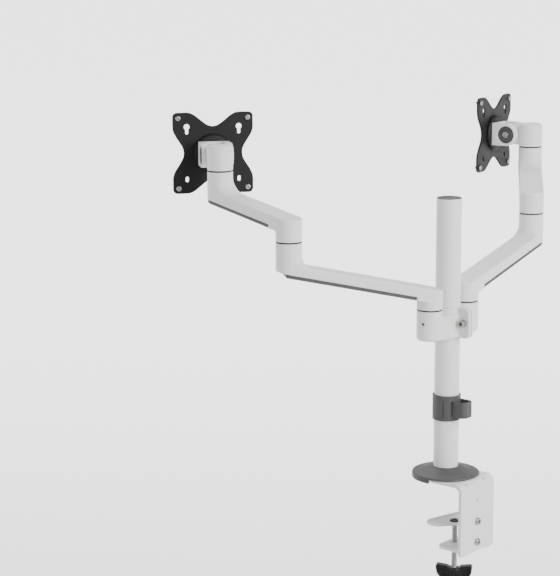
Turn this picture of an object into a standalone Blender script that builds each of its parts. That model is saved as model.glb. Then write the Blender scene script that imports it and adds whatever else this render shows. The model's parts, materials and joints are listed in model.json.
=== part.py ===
"""Dual monitor arm on one post, held to a desk edge by a C clamp.

Frame: +Z up, metres. The origin is on the post's axis, on the desk top, so the underside of the clamp
bracket's top plate is at z = 0. +X runs along the desk edge to the left hub, +Y away from the user, and
the two screens are on the -Y side. Each arm is modelled in its own joint frames, along +X, and is placed
by the empties on its joints.
"""

import math

import bmesh
import bpy
from mathutils import Matrix, Vector

GAP = 0.0003                    # clearance between parts that touch
FINE, MEDIUM, COARSE = 24, 14, 8    # sides of large, middling and small round shapes

# Post
POST_RADIUS, POST_WALL, POST_TOP = 0.0175, 0.002, 0.3975
PLUG_HEIGHT, POST_BOLT_TOP, POST_BOLT_HEAD = 0.022, 0.023, 0.008

# Desk clamp
BRACKET_WIDTH, BRACKET_BACK, BRACKET_PLATE = 0.080, 0.0558, 0.005
BRACKET_FRONT, BRACKET_FOOT, BRACKET_BEND = -0.030, -0.0995, 0.012
JAW_WIDTH, JAW_FRONT, JAW_TOP, JAW_PLATE = 0.053, 0.0055, -0.0935, 0.005
JAW_SCREW_HEIGHTS = {"lower_jaw_screw_top": -0.0548, "lower_jaw_screw_bottom": -0.0847}
SPARE_HOLE_HEIGHT = -0.0245
SPINDLE_Y, SPINDLE_RADIUS = 0.017, 0.004
PRESS_TOP, PRESS_PLATE, PRESS_TURN = -0.0605, 0.0045, math.radians(-12.4)
PRESS_REACH, PRESS_HALF, PRESS_CORNER = 0.011, 0.023, 0.015
HANDLE_TOP, HANDLE_HEIGHT, HANDLE_HALF, HANDLE_TURN = -0.1255, 0.026, 0.0265, math.radians(120)

# Base flange and cable clip
FLANGE_RADIUS, FLANGE_RIM, FLANGE_TOP = 0.0475, 0.0085, 0.0168
FLANGE_STEP = 0.0045            # behind this line the flange's skirt stops at the top of the bracket
CLIP_LOW, CLIP_HEIGHT, CLIP_WALL, HOOK_HEIGHT = 0.0845, 0.036, 0.002, 0.0225

# Post clamp: two like halves, each with the hub of one arm
HUB_OFFSET, HUB_RADIUS, HUB_SEAM, HUB_HEIGHT = 0.0425, 0.018, 0.2471, 0.043
EAR_REACH, EAR_FACE, CLAMP_BOLT_Y, CLAMP_BOLT_Z = 0.040, 0.0058, 0.0305, 0.2255
EAR_ROOT, WEB_DROP, SPLIT = 0.0235, 0.0085, 0.0006
COLLAR_RADIUS = POST_RADIUS + 0.0045
HUB_GRUB_AZIMUTH, HUB_GRUB_Z = 5, 0.2290          # where the set screw in the +X hub points

# Joint: a pin in a bore, with a friction washer in the seam
SEAM = 0.001                    # each part stands this far off the seam's middle
WASHER_HALF, PIN_RADIUS, PIN_DOWN, PIN_UP = 0.0007, 0.006, 0.026, 0.012

# Arm links: reach and rise between their seams, and the height of their top face over the lower seam
LOWER = {"reach": 0.1958, "rise": 0.0999, "top": 0.0306, "slope": 0.206, "fillet": 0.012,
         "cover_end": 0.0065}
UPPER = {"reach": 0.1485, "rise": 0.0825, "top": 0.0336, "slope": 0.148, "fillet": 0.017,
         "cover_end": 0.0140}
LINK_DEPTH, COVER_DEPTH, COVER_START = 0.0192, 0.0048, 0.022
CHANNEL_HALF, CHANNEL_DEPTH = 0.010, 0.006
GRUB_DROP, GRUB_AZIMUTH = 0.0160, -35   # the set screw that loads a pin: below its seam, off the link's line
GRUB_BORE = 0.0026

# Head
HEAD_HEIGHT, TILT_X, TILT_Z, TONGUE_HALF = 0.036, 0.0325, 0.018, 0.0117
FORK_HALF, FORK_RADIUS, FORK_FRONT, FORK_WALL = 0.0224, 0.0172, 0.0562, 0.0060
DISC_RADIUS, PLATE_BACK, PLATE_THICK = 0.0275, 0.0620, 0.003
PLATE_HALF, SCREW_PITCH, SMALL_PITCH = 0.058, 0.050, 0.0375

# Rest pose: azimuths of both links and of the screen's normal
POSES = {
    "left": {"side": 1, "azimuths": (-39.7, -99.3, -128.3)},
    "right": {"side": -1, "azimuths": (-174.1, -145.7, -81.8)},
}


# ---------------------------------------------------------------- scene and materials

def clear_scene():
    for obj in list(bpy.data.objects):
        bpy.data.objects.remove(obj, do_unlink=True)


def new_collection(name):
    found = bpy.data.collections.new(name)
    bpy.context.scene.collection.children.link(found)
    return found


clear_scene()
PARTS = new_collection("monitor_arm")
CUTTERS = new_collection("cutters")
CUTTERS.hide_render = True


def new_material(name, colour, roughness, metallic=0.0):
    mat = bpy.data.materials.new(name)
    mat.use_nodes = True
    shader = mat.node_tree.nodes["Principled BSDF"]
    shader.inputs["Base Color"].default_value = (*colour, 1.0)
    shader.inputs["Roughness"].default_value = roughness
    shader.inputs["Metallic"].default_value = metallic
    return mat


WHITE_COAT = new_material("white_powder_coat", (0.72, 0.72, 0.72), 0.45)
GREY_PLASTIC = new_material("grey_plastic", (0.14, 0.14, 0.14), 0.5)
WASHER_PLASTIC = new_material("dark_washer_plastic", (0.05, 0.05, 0.05), 0.5)
BLACK_COAT = new_material("black_powder_coat", (0.02, 0.02, 0.02), 0.5)
BLACK_PLASTIC = new_material("black_plastic", (0.015, 0.015, 0.015), 0.4)
ZINC_STEEL = new_material("zinc_steel", (0.6, 0.6, 0.58), 0.3, 1.0)
DARK_STEEL = new_material("dark_steel", (0.06, 0.06, 0.06), 0.35, 1.0)


# ---------------------------------------------------------------- outlines

def arc(centre, radius, start, end, steps):
    """Points on a circle from one angle to another, in degrees, both ends included."""
    angles = [math.radians(start + (end - start) * i / steps) for i in range(steps + 1)]
    return [(centre[0] + radius * math.cos(a), centre[1] + radius * math.sin(a)) for a in angles]


def circle(centre, radius, sides):
    return arc(centre, radius, 0, 360, sides)[:-1]


def rounded(corners, steps=4):
    """A closed outline from (x, y, radius) corners, each one rounded by an arc of its radius."""
    points = []
    for i, (x, y, radius) in enumerate(corners):
        here = Vector((x, y))
        if radius == 0:
            points.append((x, y))
            continue
        before = (Vector(corners[i - 1][:2]) - here).normalized()
        after = (Vector(corners[(i + 1) % len(corners)][:2]) - here).normalized()
        half = before.angle(after) / 2
        centre = here + (before + after).normalized() * radius / math.sin(half)
        first = here + before * radius / math.tan(half) - centre
        turn = first.angle_signed(here + after * radius / math.tan(half) - centre)
        for step in range(steps + 1):
            spoke = Matrix.Rotation(-turn * step / steps, 2) @ first
            points.append(tuple(centre + spoke))
    return points


def slot(centre, half_length, radius, steps=4):
    """An upright slot."""
    x, y = centre
    upper = arc((x, y + half_length), radius, 0, 180, steps)
    return upper + arc((x, y - half_length), radius, 180, 360, steps)


# ---------------------------------------------------------------- solids

UPRIGHT = Matrix.Identity(4)                                       # outline in XY, extruded along Z
SIDEWAYS = Matrix(((1, 0, 0, 0), (0, 0, -1, 0), (0, 1, 0, 0), (0, 0, 0, 1)))   # outline in XZ, along -Y
FORWARD = Matrix(((0, 0, 1, 0), (1, 0, 0, 0), (0, 1, 0, 0), (0, 0, 0, 1)))     # outline in YZ, along +X
ALONG_Y = Matrix.Rotation(math.radians(-90), 4, "X")               # an axis along +Z turned to +Y
ALONG_X = Matrix.Rotation(math.radians(90), 4, "Y")                # an axis along +Z turned to +X


def extruded(name, outline, low, high, turn=UPRIGHT, holes=()):
    """A flat outline, with holes, made solid between two levels along its normal."""
    curve = bpy.data.curves.new(name, "CURVE")
    curve.dimensions = "2D"
    curve.fill_mode = "BOTH"
    curve.extrude = (high - low) / 2
    for points in (outline, *holes):
        spline = curve.splines.new("POLY")
        spline.points.add(len(points) - 1)
        spline.points.foreach_set("co", [value for x, y in points for value in (x, y, 0, 1)])
        spline.use_cyclic_u = True
    guide = bpy.data.objects.new(name, curve)
    CUTTERS.objects.link(guide)
    bpy.context.view_layer.update()
    evaluated = guide.evaluated_get(bpy.context.evaluated_depsgraph_get())
    mesh = bpy.data.meshes.new_from_object(evaluated)
    bpy.data.objects.remove(guide)
    mesh.transform(turn @ Matrix.Translation((0, 0, (low + high) / 2)))
    cleaned = bmesh.new()
    cleaned.from_mesh(mesh)
    bmesh.ops.remove_doubles(cleaned, verts=cleaned.verts, dist=1e-6)
    bmesh.ops.recalc_face_normals(cleaned, faces=cleaned.faces)
    cleaned.to_mesh(mesh)
    cleaned.free()
    obj = bpy.data.objects.new(name, mesh)
    CUTTERS.objects.link(obj)
    return obj


def turned(name, profile, sides, turn=UPRIGHT):
    """A profile of (radius, height) points, from the top down the outside, turned about Z."""
    mesh = bpy.data.meshes.new(name)
    closed = profile[0][0] > 0
    edges = [(i, i + 1) for i in range(len(profile) - 1)]
    if closed:
        edges.append((len(profile) - 1, 0))
    mesh.from_pydata([(radius, 0, height) for radius, height in profile], edges, [])
    obj = bpy.data.objects.new(name, mesh)
    CUTTERS.objects.link(obj)
    screw = obj.modifiers.new("Screw", "SCREW")
    screw.steps = screw.render_steps = sides
    screw.use_merge_vertices = True
    screw.merge_threshold = 1e-5
    bpy.context.view_layer.update()
    solid = bpy.data.meshes.new_from_object(obj.evaluated_get(bpy.context.evaluated_depsgraph_get()))
    solid.transform(turn)
    obj.modifiers.clear()
    obj.data = solid
    return obj


def rod(name, radius, low, high, sides, turn=UPRIGHT, at=(0, 0, 0)):
    """A plain cylinder between two levels of its axis."""
    solid = turned(name, [(0, high), (radius, high), (radius, low), (0, low)], sides, turn)
    solid.data.transform(Matrix.Translation(at))
    return solid


def moved(obj, offset):
    obj.data.transform(Matrix.Translation(offset))
    return obj


def combine(obj, operation, *tools):
    """Booleans each tool into the object. The tools stay as hidden wires in the cutters' collection."""
    for tool in tools:
        tool.hide_render = True
        tool.display_type = "WIRE"
        tool.parent = obj
        modifier = obj.modifiers.new(tool.name, "BOOLEAN")
        modifier.operation = operation
        modifier.object = tool
        modifier.solver = "EXACT"
    return obj


def use_manifold_solver(obj):
    """For the bodies that the exact solver leaves open, where a curved face runs into a cut."""
    for modifier in obj.modifiers:
        modifier.solver = "MANIFOLD"


def cut(obj, *tools):
    return combine(obj, "DIFFERENCE", *tools)


def join(obj, *tools):
    return combine(obj, "UNION", *tools)


def finish(obj, name, material, parent=None):
    """Makes a solid one of the object's parts: names it, colours it and hangs it on its joint's empty."""
    obj.name = obj.data.name = name
    obj.data.materials.clear()
    obj.data.materials.append(material)
    obj.data.shade_smooth()
    obj.data.set_sharp_from_angle(angle=math.radians(35))
    CUTTERS.objects.unlink(obj)
    PARTS.objects.link(obj)
    obj.parent = parent
    return obj


def joint_empty(name, parent, location, azimuth=0.0):
    empty = bpy.data.objects.new(name, None)
    empty.empty_display_size = 0.02
    PARTS.objects.link(empty)
    empty.parent = parent
    empty.location = location
    empty.rotation_euler = (0, 0, math.radians(azimuth))
    return empty


# ---------------------------------------------------------------- post and its trim

def make_post():
    inner = POST_RADIUS - POST_WALL
    foot = BRACKET_PLATE + GAP
    profile = [(inner, POST_TOP), (POST_RADIUS, POST_TOP), (POST_RADIUS, foot), (inner, foot)]
    finish(turned("post", profile, FINE), "post", WHITE_COAT)
    plug = inner - GAP
    bore = SPINDLE_RADIUS + GAP
    profile = [(bore, foot + PLUG_HEIGHT), (plug, foot + PLUG_HEIGHT), (plug, foot), (bore, foot)]
    finish(turned("plug", profile, FINE), "post_foot_plug", ZINC_STEEL)
    cap_top = POST_TOP - 0.0006
    profile = [(0, cap_top), (plug - 0.0008, cap_top), (plug, cap_top - 0.0008), (plug, cap_top - 0.009)]
    profile += [(plug - 0.002, cap_top - 0.009), (plug - 0.002, cap_top - 0.002), (0, cap_top - 0.002)]
    finish(turned("cap", profile, FINE), "post_cap", GREY_PLASTIC)


def make_post_bolt():
    """Countersunk from below, through the bracket and up into the plug."""
    neck, face = BRACKET_PLATE - 0.0006, 0.0004
    profile = [(0, POST_BOLT_TOP), (SPINDLE_RADIUS, POST_BOLT_TOP), (SPINDLE_RADIUS, neck)]
    profile += [(POST_BOLT_HEAD, face), (0, face)]
    bolt = turned("bolt", profile, MEDIUM)
    cut(bolt, extruded("bolt_socket", circle((0, 0), 0.0026, 6), 0.0, 0.003))
    finish(bolt, "post_bolt", ZINC_STEEL)


def make_flange():
    """A domed plastic cover round the post's foot, notched over the bracket's top plate."""
    bore = POST_RADIUS + GAP
    shell = 0.003
    rim = FLANGE_RADIUS
    low = 0.0005
    profile = [(bore, FLANGE_TOP), (bore + 0.004, FLANGE_TOP - 0.0004), (rim - 0.012, FLANGE_RIM + 0.0022)]
    profile += [(rim - 0.0035, FLANGE_RIM), (rim - 0.001, FLANGE_RIM - 0.0010), (rim, FLANGE_RIM - 0.0035)]
    profile += [(rim, low), (rim - shell, low), (rim - shell, FLANGE_RIM - shell)]
    profile += [(bore + 0.003, FLANGE_TOP - shell - 0.0014), (bore, FLANGE_TOP - shell - 0.0014)]
    flange = turned("flange", profile, FINE + 12)
    notch_half = BRACKET_WIDTH / 2 + GAP
    outline = [(-notch_half, BRACKET_FRONT - GAP), (notch_half, BRACKET_FRONT - GAP)]
    outline += [(notch_half, rim + shell), (-notch_half, rim + shell)]
    cut(flange, extruded("flange_notch", outline, -0.001, BRACKET_PLATE + GAP))
    outline = [(-0.06, FLANGE_STEP), (0.06, FLANGE_STEP), (0.06, 0.06), (-0.06, 0.06)]
    cut(flange, extruded("flange_step", outline, -0.001, BRACKET_PLATE + GAP))
    finish(flange, "base_flange", GREY_PLASTIC)


def make_clip(parent):
    """A snap collar round the post, open at the back, with two grip pads and a hook that holds the cables."""
    inner = POST_RADIUS + GAP
    outer = inner + CLIP_WALL
    low, high = CLIP_LOW, CLIP_LOW + CLIP_HEIGHT
    middle, tall = (low + high) / 2, HOOK_HEIGHT / 2
    band = [(inner - 0.001, high), (outer, high), (outer, low), (inner - 0.001, low)]
    collar = turned("collar", band, FINE)
    half, wall, reach, root = 0.0115, 0.0024, 0.0385, 0.0120
    mouth = root + 0.0062
    outline = rounded([
        (-half, root, 0), (-half + wall, root, 0), (-half + wall, reach - wall, 0.0075 - wall),
        (half - wall, reach - wall, 0.0075 - wall), (half - wall, mouth, 0), (half, mouth, 0),
        (half, reach, 0.0075), (-half, reach, 0.0075)])
    join(collar, extruded("hook", outline, middle - tall, middle + tall))
    for azimuth in (35.5, 7.5):
        pad = arc((0, 0), outer + 0.0012, azimuth - 12, azimuth + 12, 5)
        pad += arc((0, 0), inner, azimuth + 12, azimuth - 12, 5)
        join(collar, extruded("pad", pad, middle - tall, middle + tall))
    cut(collar, rod("clip_bore", inner, low - 0.01, high + 0.01, FINE))
    opening = [(0, 0), (-0.030, -0.012), (-0.030, -0.030), (-0.012, -0.030)]
    cut(collar, extruded("clip_opening", opening, low - 0.01, high + 0.01))
    use_manifold_solver(collar)
    finish(collar, "cable_clip", GREY_PLASTIC, parent)


# ---------------------------------------------------------------- desk clamp

def make_bracket():
    """One bent plate: over the desk under the post, and down behind the desk's edge."""
    half = BRACKET_WIDTH / 2
    back, plate = BRACKET_BACK, BRACKET_PLATE
    outline = rounded([
        (BRACKET_FRONT, 0, 0), (back - plate, 0, BRACKET_BEND - plate), (back - plate, BRACKET_FOOT, 0),
        (back, BRACKET_FOOT, 0), (back, plate, BRACKET_BEND), (BRACKET_FRONT, plate, 0)], 5)
    bracket = extruded("bracket", outline, -half, half, FORWARD)
    front = BRACKET_FRONT
    plan = rounded([(half + 0.001, back + 0.01, 0), (-half - 0.001, back + 0.01, 0), (-half, 0.005, 0),
                    (-0.020, front, 0.010), (0.020, front, 0.010), (half, 0.005, 0)], 4)
    combine(bracket, "INTERSECT", extruded("bracket_plan", plan, BRACKET_FOOT - 0.01, plate + 0.01))
    lip = 0.007
    for side in (-1, 1):
        corner = rounded([(side * (half + 0.002), BRACKET_FOOT - 0.002, 0),
                          (side * (half - lip), BRACKET_FOOT - 0.002, 0),
                          (side * (half + 0.002), BRACKET_FOOT + lip + 0.002, 0)])
        cut(bracket, extruded("bracket_corner", corner, -back - 0.01, -back + plate + 0.01, SIDEWAYS))
    for height in (*JAW_SCREW_HEIGHTS.values(), SPARE_HOLE_HEIGHT):
        drill = rod("jaw_hole", 0.0028, back - 0.02, back + 0.01, COARSE, ALONG_Y, (0, 0, height))
        cut(bracket, drill)
    sink = [(0, plate + 0.01), (SPINDLE_RADIUS + GAP, plate + 0.01), (SPINDLE_RADIUS + GAP, plate - 0.0003)]
    sink += [(POST_BOLT_HEAD + GAP, 0.0001), (POST_BOLT_HEAD + GAP, -0.01), (0, -0.01)]
    cut(bracket, turned("post_bolt_sink", sink, MEDIUM))
    finish(bracket, "clamp_bracket", WHITE_COAT)


def make_jaw():
    """The L plate that carries the spindle, screwed inside the bracket's back."""
    inside = BRACKET_BACK - BRACKET_PLATE - GAP
    top, plate, half = JAW_TOP, JAW_PLATE, JAW_WIDTH / 2
    leg_top = JAW_SCREW_HEIGHTS["lower_jaw_screw_top"] + 0.009
    outline = rounded([
        (JAW_FRONT, top - plate, 0), (inside, top - plate, 0.007), (inside, leg_top, 0),
        (inside - plate + 0.001, leg_top, 0), (inside - plate + 0.001, top, 0.003), (JAW_FRONT, top, 0)])
    jaw = extruded("jaw", outline, -half, half, FORWARD)
    for side in (-1, 1):
        corner = [(side * (half + 0.002), JAW_FRONT - 0.002), (side * (half - 0.006), JAW_FRONT - 0.002),
                  (side * (half + 0.002), JAW_FRONT + 0.006)]
        cut(jaw, extruded("jaw_corner", corner, top - 0.01, top + 0.004))
    cut(jaw, rod("spindle_thread_hole", SPINDLE_RADIUS + GAP, top - 0.02, top + 0.01, MEDIUM, UPRIGHT,
                 (0, SPINDLE_Y, 0)))
    for height in JAW_SCREW_HEIGHTS.values():
        cut(jaw, rod("jaw_thread", 0.0027, inside - 0.01, inside + 0.01, COARSE, ALONG_Y, (0, 0, height)))
    finish(jaw, "lower_jaw", WHITE_COAT)


def cap_screw(name, radius, length, head_radius, head_height, socket, turn):
    """Head on the +Z side of the origin, shank on the other, with a six-sided socket."""
    edge = head_height * 0.22
    profile = [(0, head_height), (head_radius - edge, head_height), (head_radius, head_height - edge)]
    profile += [(head_radius, 0), (radius, 0), (radius, -length), (0, -length)]
    screw = turned(name, profile, MEDIUM if head_radius > 0.005 else COARSE)
    cut(screw, extruded(name + "_socket", circle((0, 0), socket, 6), head_height * 0.4, head_height + 0.001))
    screw.data.transform(turn)
    for tool in [m.object for m in screw.modifiers]:
        tool.data.transform(turn)
    return screw


def make_jaw_screws():
    seat = BRACKET_BACK + GAP
    for name, height in JAW_SCREW_HEIGHTS.items():
        screw = cap_screw("screw", 0.0024, 0.0103, 0.0052, 0.0024, 0.0016, ALONG_Y)
        screw.location = (0, seat, height)
        finish(screw, name, DARK_STEEL)


def make_press(press, spindle):
    """The plate that bears on the desk from below, on the spindle's shouldered end."""
    low = PRESS_TOP - PRESS_PLATE
    spots = [(-PRESS_HALF, -PRESS_REACH), (PRESS_HALF, -PRESS_REACH), (0, 0)]
    outline = hull_outline(spots, PRESS_CORNER)
    inner = hull_outline(spots, PRESS_CORNER - 0.0045)
    plate = extruded("press", outline, low, PRESS_TOP - 0.0012)
    join(plate, extruded("press_crown", inner, low + 0.001, PRESS_TOP))
    hollow = hull_outline(spots, PRESS_CORNER - 0.0032)
    cut(plate, extruded("press_hollow", hollow, low - 0.01, PRESS_TOP - 0.0032))
    sink = [(0, 0.01), (0.0064, 0.01), (0.0064, -0.0010), (0.0032, -0.0022), (0.0032, -0.02), (0, -0.02)]
    cut(plate, moved(turned("press_sink", sink, MEDIUM), (0, 0, PRESS_TOP)))
    plate.rotation_euler = (0, 0, PRESS_TURN)
    finish(plate, "pressure_plate", WHITE_COAT, press)

    neck = PRESS_TOP - 0.0008
    shoulder = PRESS_TOP - 0.0032 - GAP
    profile = [(0, neck), (0.0061, neck), (0.0061, neck - 0.0002), (0.0029, neck - 0.0012)]
    profile += [(0.0029, shoulder - 0.012), (0, shoulder - 0.012)]
    screw = turned("plate_screw", profile, MEDIUM)
    for angle in (0, 90):
        bar = [(-0.0028, -0.0005), (0.0028, -0.0005), (0.0028, 0.0005), (-0.0028, 0.0005)]
        recess = extruded("cross", bar, neck - 0.0007, neck + 0.001)
        recess.data.transform(Matrix.Rotation(math.radians(angle), 4, "Z"))
        cut(screw, recess)
    finish(screw, "pressure_plate_screw", DARK_STEEL, spindle)

    bore, foot = 0.0029 + GAP, HANDLE_TOP - 0.019
    pit = shoulder - 0.0125
    profile = [(0, pit), (bore, pit), (bore, shoulder), (SPINDLE_RADIUS, shoulder)]
    profile += [(SPINDLE_RADIUS, foot), (0, foot)]
    finish(turned("spindle", profile, MEDIUM), "spindle", ZINC_STEEL, spindle)
    make_handle(spindle)


def make_handle(spindle):
    """A two-winged plastic handle moulded on the spindle's end."""
    top, low = HANDLE_TOP, HANDLE_TOP - HANDLE_HEIGHT
    wing = rounded([
        (-HANDLE_HALF, top, 0.003), (-0.010, top - 0.002, 0.004), (-0.006, top - 0.006, 0.002),
        (0.006, top - 0.006, 0.002), (0.010, top - 0.002, 0.004), (HANDLE_HALF, top, 0.003),
        (HANDLE_HALF - 0.003, top - 0.016, 0.005), (0.010, low + 0.002, 0.004),
        (-0.010, low + 0.002, 0.004), (-HANDLE_HALF + 0.003, top - 0.016, 0.005)][::-1], 3)
    handle = extruded("handle", wing, -0.0055, 0.0055, SIDEWAYS)
    join(handle, rod("handle_hub", 0.0095, low, top - 0.005, MEDIUM))
    cut(handle, rod("handle_bore", SPINDLE_RADIUS + GAP, HANDLE_TOP - 0.0195, top + 0.01, MEDIUM))
    handle.rotation_euler = (0, 0, HANDLE_TURN)
    finish(handle, "clamp_handle", BLACK_PLASTIC, spindle)


def hull_outline(centres, radius, steps=6):
    """The outline of equal discs wrapped by a band, for three discs in anticlockwise order."""
    points = []
    count = len(centres)
    for i in range(count):
        before, here, after = (Vector(centres[(i + k) % count]) for k in (-1, 0, 1))
        start = math.degrees(math.atan2(*(here - before).yx)) - 90
        end = math.degrees(math.atan2(*(after - here).yx)) - 90
        while end < start:
            end += 360
        points += arc(here, radius, start, end, steps)
    return points


# ---------------------------------------------------------------- post clamp

def make_clamp_half(name, parent, side):
    """Half of the clamp round the post, with the hub of one arm. The other half is the same piece, turned."""
    top, low = HUB_SEAM - SEAM, HUB_SEAM - HUB_HEIGHT
    outline = [(SPLIT, -EAR_REACH), (EAR_FACE, -EAR_REACH), (EAR_FACE, -EAR_ROOT)]
    outline += [(0.0105, -EAR_ROOT + 0.002)]
    outline += arc((HUB_OFFSET, 0), HUB_RADIUS, -105, 105, 22)
    outline += [(0.0105, EAR_ROOT - 0.002), (EAR_FACE, EAR_ROOT), (EAR_FACE, EAR_REACH), (SPLIT, EAR_REACH)]
    body = extruded("half", outline, low, top)
    web_top = top - WEB_DROP
    above = [(EAR_FACE, -0.06), (HUB_OFFSET, -0.06), (HUB_OFFSET, 0.06), (EAR_FACE, 0.06)]
    step = extruded("web_step", above, web_top, top + 0.01)
    cut(step, rod("keep_hub", HUB_RADIUS, web_top - 0.01, top + 0.02, FINE, UPRIGHT, (HUB_OFFSET, 0, 0)))
    cut(step, rod("keep_collar", COLLAR_RADIUS, web_top - 0.01, top + 0.02, FINE))
    cut(body, step)
    cut(body, rod("post_bore", POST_RADIUS + GAP, low - 0.01, top + 0.01, FINE))
    cut(body, rod("pin_bore", PIN_RADIUS + GAP, HUB_SEAM - PIN_DOWN - 0.001, top + 0.01, MEDIUM, UPRIGHT,
                  (HUB_OFFSET, 0, 0)))
    for y in (CLAMP_BOLT_Y, -CLAMP_BOLT_Y):
        cut(body, rod("bolt_bore", 0.0034, -0.01, 0.03, COARSE, ALONG_X, (0, y, CLAMP_BOLT_Z)))
        cut(body, rod("head_pocket", 0.0066, EAR_FACE - 0.0001, 0.03, MEDIUM, ALONG_X, (0, y, CLAMP_BOLT_Z)))
    turn = Matrix.Rotation(math.radians(HUB_GRUB_AZIMUTH), 4, "Z") @ ALONG_X
    cut(body, rod("grub_bore", GRUB_BORE, PIN_RADIUS - 0.001, 0.03, COARSE, turn,
                  (HUB_OFFSET, 0, HUB_GRUB_Z)))
    body.rotation_euler = (0, 0, 0 if side > 0 else math.pi)
    finish(body, name, WHITE_COAT, parent)


def grub_screw(name, parent, reach, at, azimuth):
    """A short socket set screw whose outer end is `reach` from the pin's axis."""
    profile = [(0, reach), (0.0018, reach), (0.0023, reach - 0.0005), (0.0023, PIN_RADIUS + GAP + 0.0004)]
    profile += [(0, PIN_RADIUS + GAP + 0.0004)]
    screw = turned(name, profile, COARSE)
    cut(screw, extruded(name + "_socket", circle((0, 0), 0.0012, 6), reach - 0.002, reach + 0.001))
    turn = Matrix.Rotation(math.radians(azimuth), 4, "Z") @ ALONG_X
    screw.data.transform(turn)
    for modifier in screw.modifiers:
        modifier.object.data.transform(turn)
    screw.location = at
    return finish(screw, name, ZINC_STEEL, parent)


def make_post_clamp(parent):
    for name, side in (("left", 1), ("right", -1)):
        make_clamp_half(f"post_clamp_{name}_half", parent, side)
        azimuth = HUB_GRUB_AZIMUTH if side > 0 else HUB_GRUB_AZIMUTH - 180
        at = (side * HUB_OFFSET, 0, HUB_GRUB_Z)
        grub_screw(f"{name}_hub_grub_screw", parent, HUB_RADIUS - 0.0012, at, azimuth)
    for name, side in (("back", 1), ("front", -1)):
        bolt = cap_screw("bolt", 0.003, 0.0115, 0.0054, 0.0060, 0.0026, ALONG_X)
        bolt.location = (side * (EAR_FACE + GAP), side * CLAMP_BOLT_Y, CLAMP_BOLT_Z)
        bolt.rotation_euler = (0, 0, 0 if side > 0 else math.pi)
        finish(bolt, f"post_clamp_{name}_bolt", ZINC_STEEL, parent)


# ---------------------------------------------------------------- arms

def make_seam(prefix, lower, upper):
    """The friction washer stays with the part below the seam, and the pin turns with the part above it."""
    bore, edge = PIN_RADIUS + GAP, HUB_RADIUS - 0.0006
    profile = [(bore, WASHER_HALF), (edge, WASHER_HALF), (edge, -WASHER_HALF), (bore, -WASHER_HALF)]
    finish(turned("washer", profile, FINE), f"{prefix}_washer", WASHER_PLASTIC, lower)
    pin = rod("pin", PIN_RADIUS, -PIN_DOWN, PIN_UP, MEDIUM)
    finish(pin, f"{prefix}_pin", ZINC_STEEL, upper)


def make_link(name, spec, parent):
    """A cast link from its lower seam, at its frame's origin, up to the seam of the joint that it carries."""
    reach, rise, slope, fillet = spec["reach"], spec["rise"], spec["slope"], spec["fillet"]
    top, low, half = spec["top"], spec["top"] - LINK_DEPTH, HUB_RADIUS - 0.0003
    end = reach + half

    def height(x):
        return low + slope * x

    start, past = -HUB_RADIUS - 0.0005, end + 0.002
    bar = rounded([(start, height(start), 0), (past, height(past), 0), (past, height(past) + LINK_DEPTH, 0),
                   (start, height(start) + LINK_DEPTH, 0.0075)], 5)
    body = extruded(name, bar, -half - 0.002, half + 0.002, SIDEWAYS)
    foot = top + slope * (reach - HUB_RADIUS - fillet)
    flare = arc((half + fillet, foot + fillet), fillet, 195, 270, 5)
    flare = [(0, flare[0][1])] + flare + [(half + fillet, foot - 0.003), (0, foot - 0.003)]
    join(body, moved(turned(name + "_flare", flare, FINE), (reach, 0, 0)))
    plan = arc((reach, 0), half, -90, 90, FINE // 2) + arc((0, 0), half, 90, 270, FINE // 2)
    combine(body, "INTERSECT", extruded(name + "_plan", plan, -0.02, rise + 0.01))
    join(body, rod(name + "_foot", HUB_RADIUS, SEAM, height(HUB_RADIUS) + 0.0015, FINE))
    join(body, rod(name + "_head", HUB_RADIUS, height(reach) - 0.002, rise - SEAM, FINE, UPRIGHT,
                   (reach, 0, 0)))
    step, start = COVER_DEPTH + GAP, COVER_START
    rebate = [(start, height(start) - 0.02), (end + 0.01, height(end) - 0.02),
              (end + 0.01, height(end + 0.01) + step), (start, height(start) + step)]
    cut(body, extruded(name + "_rebate", rebate, -HUB_RADIUS - 0.001, HUB_RADIUS + 0.001, SIDEWAYS))
    inner, outer = start + 0.006, reach + 0.012
    channel = [(inner, height(inner)), (outer, height(outer)),
               (outer, height(outer) + step + CHANNEL_DEPTH), (inner, height(inner) + step + CHANNEL_DEPTH)]
    cut(body, extruded(name + "_channel", channel, -CHANNEL_HALF, CHANNEL_HALF, SIDEWAYS))
    cut(body, rod(name + "_seat", PIN_RADIUS + GAP, -0.01, PIN_UP + 0.0005, MEDIUM))
    cut(body, rod(name + "_bore", PIN_RADIUS + GAP, rise - PIN_DOWN - 0.001, rise + 0.01, MEDIUM, UPRIGHT,
                  (reach, 0, 0)))
    grub_at = (reach, 0, rise - GRUB_DROP)
    turn = Matrix.Rotation(math.radians(GRUB_AZIMUTH), 4, "Z") @ ALONG_X
    cut(body, rod(name + "_grub_bore", GRUB_BORE, PIN_RADIUS - 0.001, 0.03, COARSE, turn, grub_at))
    use_manifold_solver(body)
    finish(body, name, WHITE_COAT, parent)
    make_cover(name + "_cable_cover", spec, parent, height)
    return grub_at


def make_cover(name, spec, parent, height):
    """The clip-in strip that closes the cable channel under a link."""
    inset, start, end = 0.0007, COVER_START + GAP, spec["reach"] + spec["cover_end"]
    side = [(start, height(start)), (end, height(end)), (end, height(end) + COVER_DEPTH),
            (start, height(start) + COVER_DEPTH)]
    cover = extruded(name, side, -HUB_RADIUS + inset, HUB_RADIUS - inset, SIDEWAYS)
    plan = arc((spec["reach"], 0), HUB_RADIUS - inset, -90, 90, FINE // 2)
    plan += [(start - 0.01, HUB_RADIUS - inset), (start - 0.01, -HUB_RADIUS + inset)]
    combine(cover, "INTERSECT", extruded(name + "_plan", plan, -0.01, spec["rise"]))
    finish(cover, name, GREY_PLASTIC, parent)


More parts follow.
